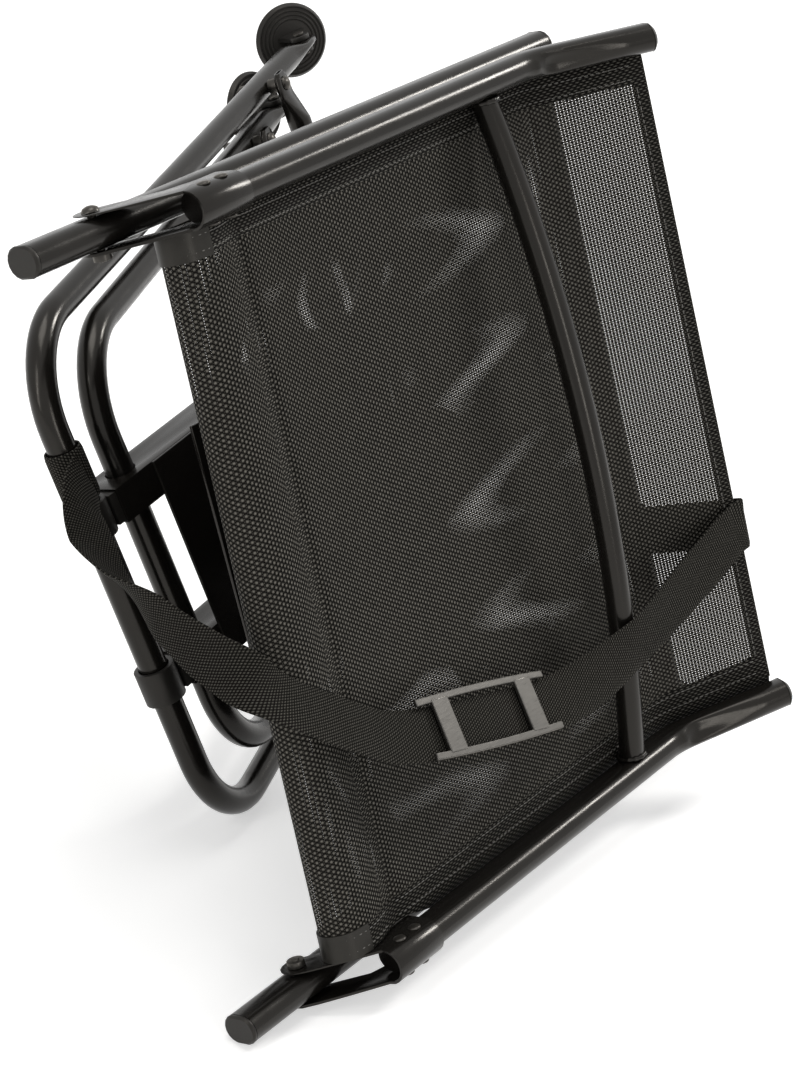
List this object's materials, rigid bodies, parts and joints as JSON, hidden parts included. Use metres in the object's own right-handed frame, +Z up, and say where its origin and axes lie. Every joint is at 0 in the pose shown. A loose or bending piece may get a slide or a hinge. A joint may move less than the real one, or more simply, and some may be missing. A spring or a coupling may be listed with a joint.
{
  "type": "folding swivel chair",
  "caption": "Mesh sling swivel chair folded flat: back over seat, U-shaped leg frames with round pivoting pads tucked under a swivel base, carry strap across the back.",
  "frame": {"origin": "middle of the box's underside, on the floor the folded chair lies on", "axes": "+X along the seat rails towards the seat's front, +Z up, -Y the side the back's rear faces"},
  "size_m": [0.8014, 0.6668, 0.5631],
  "materials": {
    "black_coat": "satin powder coat",
    "black_plastic": "moulded matte",
    "satin_steel": "satin",
    "mesh_cloth": "open woven mesh",
    "webbing": "ribbed webbing"
  },
  "bodies": {
    "seat": {"seat_cross_tube_front": "black_coat", "seat_cross_tube_rear": "black_coat", "seat_front_cap_left": "black_plastic", "seat_front_cap_right": "black_plastic", "seat_front_tube": "black_coat", "seat_rail_left": "black_coat", "seat_rail_right": "black_coat", "seat_sling": "mesh_cloth", "seat_tail_cap_left": "black_plastic", "seat_tail_cap_right": "black_plastic", "strap_lower": "webbing", "strap_seat_loop": "webbing", "swivel_ring_upper": "black_plastic", "swivel_top_plate": "black_coat"},
    "back": {"back_cross_tube": "black_coat", "back_end_cap_left": "black_plastic", "back_end_cap_right": "black_plastic", "back_rail_left": "black_coat", "back_rail_right": "black_coat", "back_sling": "mesh_cloth", "carry_strap": "webbing", "hinge_bolt_left": "satin_steel", "hinge_bolt_right": "satin_steel", "hinge_bracket_left": "black_coat", "hinge_bracket_right": "black_coat", "strap_slide": "satin_steel"},
    "base": {"arm_cap_left": "black_plastic", "arm_cap_right": "black_plastic", "base_arm_left": "black_coat", "base_arm_right": "black_coat", "base_plate": "black_coat", "leg_collar_left": "black_plastic", "leg_collar_right": "black_plastic", "swivel_column": "black_coat", "swivel_king_bolt": "satin_steel", "swivel_ring_lower": "black_plastic"},
    "outer_legs": {"outer_bolt_left": "satin_steel", "outer_bolt_right": "satin_steel", "outer_foot_left_pin": "satin_steel", "outer_foot_right_pin": "satin_steel", "outer_leg_frame": "black_coat", "outer_stretcher": "black_coat", "strap_leg_loop": "webbing"},
    "inner_legs": {"inner_bolt_left": "satin_steel", "inner_bolt_right": "satin_steel", "inner_foot_left_pin": "satin_steel", "inner_foot_right_pin": "satin_steel", "inner_leg_frame": "black_coat", "inner_stretcher": "black_coat"},
    "outer_foot_left": {"outer_foot_left": "black_plastic"},
    "outer_foot_right": {"outer_foot_right": "black_plastic"},
    "inner_foot_left": {"inner_foot_left": "black_plastic"},
    "inner_foot_right": {"inner_foot_right": "black_plastic"}
  },
  "joints": [
    {"name": "back_fold", "type": "hinge", "parent": "seat", "child": "back", "pos_m": [-0.32426, -0.13772, 0.25664], "axis": [0.0469, -0.3781, -0.9246], "range_deg": [0, 105]},
    {"name": "seat_swivel", "type": "hinge", "parent": "seat", "child": "base", "pos_m": [-0.12851, -0.13772, 0.26656], "axis": [-0.0191, -0.9257, 0.3777], "continuous": true},
    {"name": "inner_leg_fold", "type": "hinge", "parent": "base", "child": "inner_legs", "pos_m": [-0.20635, -0.0003, 0.193], "axis": [-0.1965, 0.3738, 0.9064], "range_deg": [0, 96]},
    {"name": "outer_leg_fold", "type": "hinge", "parent": "base", "child": "outer_legs", "pos_m": [-0.25068, -0.00888, 0.18693], "axis": [-0.1965, 0.3738, 0.9064], "range_deg": [0, 25]},
    {"name": "outer_foot_left_tilt", "type": "hinge", "parent": "outer_legs", "child": "outer_foot_left", "pos_m": [0.28145, 0.29288, 0.39617], "axis": [-0.1965, 0.3738, 0.9064], "range_deg": [-30, 30]},
    {"name": "outer_foot_right_tilt", "type": "hinge", "parent": "outer_legs", "child": "outer_foot_right", "pos_m": [0.35923, 0.14491, 0.03741], "axis": [-0.1965, 0.3738, 0.9064], "range_deg": [-30, 30]},
    {"name": "inner_foot_left_tilt", "type": "hinge", "parent": "inner_legs", "child": "inner_foot_left", "pos_m": [0.21375, 0.26094, 0.36367], "axis": [-0.1965, 0.3738, 0.9064], "range_deg": [-96, 0]},
    {"name": "inner_foot_right_tilt", "type": "hinge", "parent": "inner_legs", "child": "inner_foot_right", "pos_m": [0.28049, 0.13398, 0.05584], "axis": [-0.1965, 0.3738, 0.9064], "range_deg": [-96, 0]}
  ],
  "couplings": [
    {"joint": "outer_leg_fold", "follows": "inner_leg_fold", "ratio": 0.26042},
    {"joint": "inner_foot_left_tilt", "follows": "inner_leg_fold", "ratio": -1},
    {"joint": "inner_foot_right_tilt", "follows": "inner_leg_fold", "ratio": -1}
  ]
}
